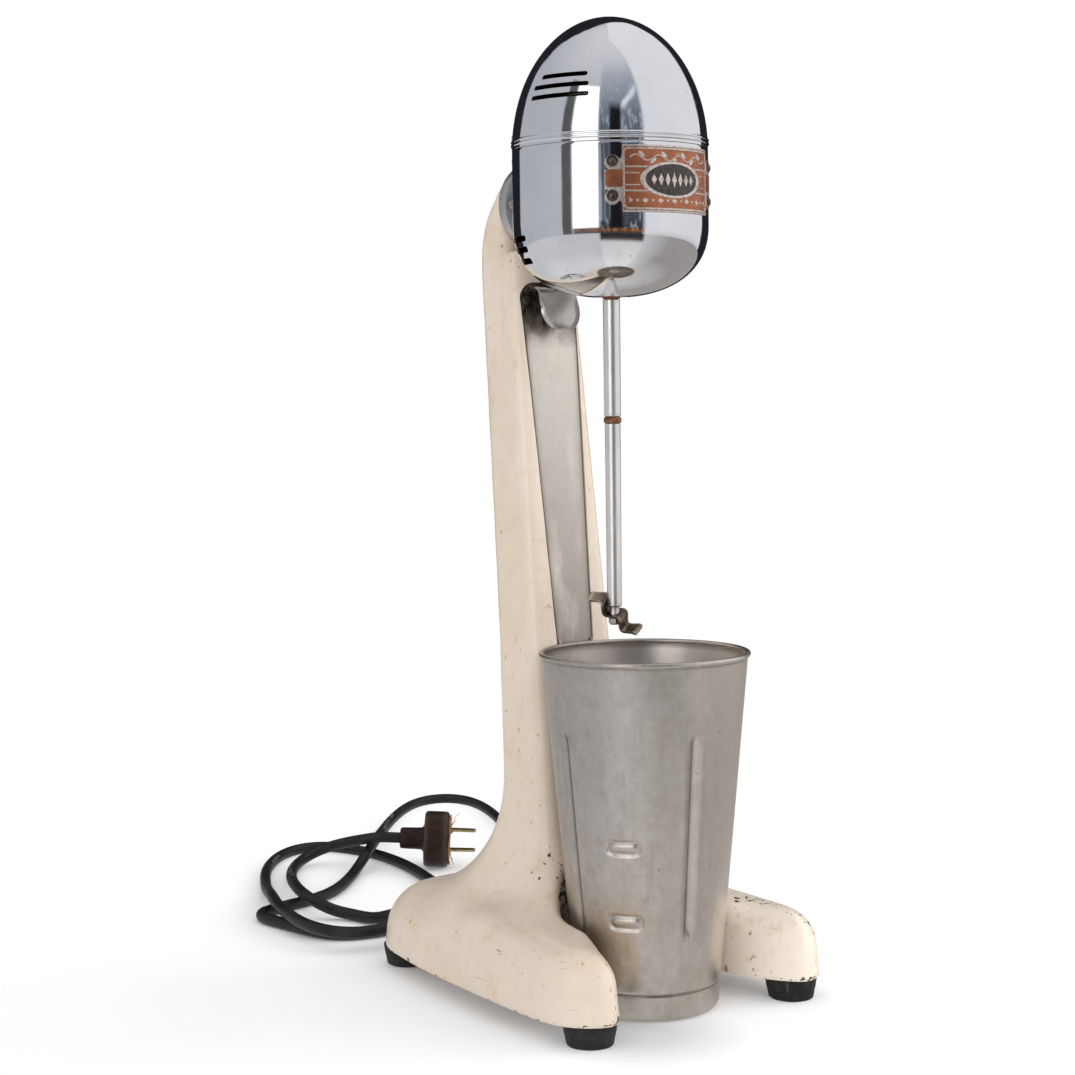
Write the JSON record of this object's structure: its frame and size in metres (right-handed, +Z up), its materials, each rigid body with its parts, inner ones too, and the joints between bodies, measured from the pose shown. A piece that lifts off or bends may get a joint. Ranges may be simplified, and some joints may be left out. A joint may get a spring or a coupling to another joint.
{
  "type": "milkshake mixer",
  "caption": "Counter drink mixer: cast stand with horseshoe base, egg-shaped chromed motor head, long spindle with wavy agitator, loose tapered steel cup, cord and plug.",
  "frame": {"origin": "on the counter plane that the four feet and the standing cup rest on, on the axis of the spindle", "axes": "+Z up along the spindle axis, -Y towards the person using the mixer (the open side of the base), +X to the right seen from the front; the stand and head are symmetric about X = 0"},
  "size_m": [0.3096, 0.5535, 0.4911],
  "materials": {
    "cream_enamel": "aged stove enamel, satin-gloss, chipped at edges",
    "plated_steel": "dull zinc plate",
    "black_rubber": "moulded, scuffed",
    "guide_steel": "lengthwise brushed, smudged",
    "cord_rubber": "smooth, slightly shiny",
    "brown_bakelite": "moulded, worn gloss",
    "fibre_board": "pressed fibre, frayed",
    "brass_blade": "tarnished",
    "wire_cover": "braided cotton",
    "cast_grey": "as cast, worn",
    "mirror_chrome": "mirror polished, light wear",
    "nameplate_copper": "copper-coloured enamel between raised metal lines",
    "felt": "oiled felt",
    "lamination_steel": "stacked steel sheets",
    "copper_winding": "enamelled copper",
    "carbon": "pressed carbon",
    "spindle_steel": "polished, spotted lower down",
    "rusty_steel": "rusted",
    "aged_brass": "dark tarnished",
    "dark_steel": "blackened steel",
    "red_plastic": "moulded",
    "cup_steel": "round-brushed, dull, spotted"
  },
  "bodies": {
    "stand": {"stand_casting": "cream_enamel", "base_plate": "plated_steel", "rubber_feet": "black_rubber", "foot_screws": "plated_steel", "guide_strip": "guide_steel", "strip_screws": "plated_steel", "cup_hook": "guide_steel", "cup_rest": "guide_steel", "cord_grommet": "black_rubber", "cord_clamp": "plated_steel", "power_cord": "cord_rubber", "plug_body": "brown_bakelite", "plug_insulator": "fibre_board", "plug_prongs": "brass_blade", "wire_leads": "wire_cover", "switch_bracket": "plated_steel", "switch_body": "brown_bakelite", "switch_terminals": "brass_blade", "lever_pin": "plated_steel", "lever_spring": "plated_steel", "mounting_flange": "cast_grey", "flange_screws": "plated_steel", "head_screws": "plated_steel", "lower_shell": "mirror_chrome", "upper_cap": "mirror_chrome", "cap_screws": "plated_steel", "nameplate": "nameplate_copper", "nameplate_rivets": "plated_steel", "motor_frame_ring": "fibre_board", "upper_bracket": "cast_grey", "lower_bracket": "cast_grey", "through_screws": "plated_steel", "upper_bearing": "brass_blade", "lower_bearing": "brass_blade", "oil_felt": "felt", "field_laminations": "lamination_steel", "field_coils": "copper_winding", "brush_holders": "brass_blade", "carbon_brushes": "carbon", "brush_springs": "plated_steel"},
    "spindle": {"motor_shaft": "plated_steel", "armature_core": "lamination_steel", "armature_windings": "copper_winding", "commutator": "copper_winding", "cooling_fan": "cast_grey", "thrust_washer": "plated_steel", "spindle_collar": "rusty_steel", "spindle_tube": "spindle_steel", "spindle_joint_ring": "rusty_steel", "spindle_rod": "spindle_steel", "agitator": "aged_brass", "agitator_nut": "spindle_steel"},
    "trip_lever": {"trip_lever": "dark_steel"},
    "switch_plunger": {"switch_plunger": "red_plastic"},
    "cup": {"malt_cup": "cup_steel"}
  },
  "joints": [
    {"name": "spindle_spin", "type": "hinge", "parent": "stand", "child": "spindle", "pos_m": [0, 0, 0.4], "axis": [0, 0, 1], "continuous": true},
    {"name": "trip_lever_tilt", "type": "hinge", "parent": "stand", "child": "trip_lever", "pos_m": [0, 0.06488, 0.35761], "axis": [-1, 0, 0], "range_deg": [0, 5]},
    {"name": "switch_plunger_press", "type": "slide", "parent": "stand", "child": "switch_plunger", "axis": [0, -0.1123, -0.9937], "range_m": [0, 0.0008]},
    {"name": "cup_lift", "type": "slide", "parent": "stand", "child": "cup", "axis": [0, 0.1044, 0.9945], "range_m": [0, 0.17]}
  ],
  "couplings": [
    {"joint": "switch_plunger_press", "follows": "trip_lever_tilt", "m_per_rad": 0.008}
  ]
}
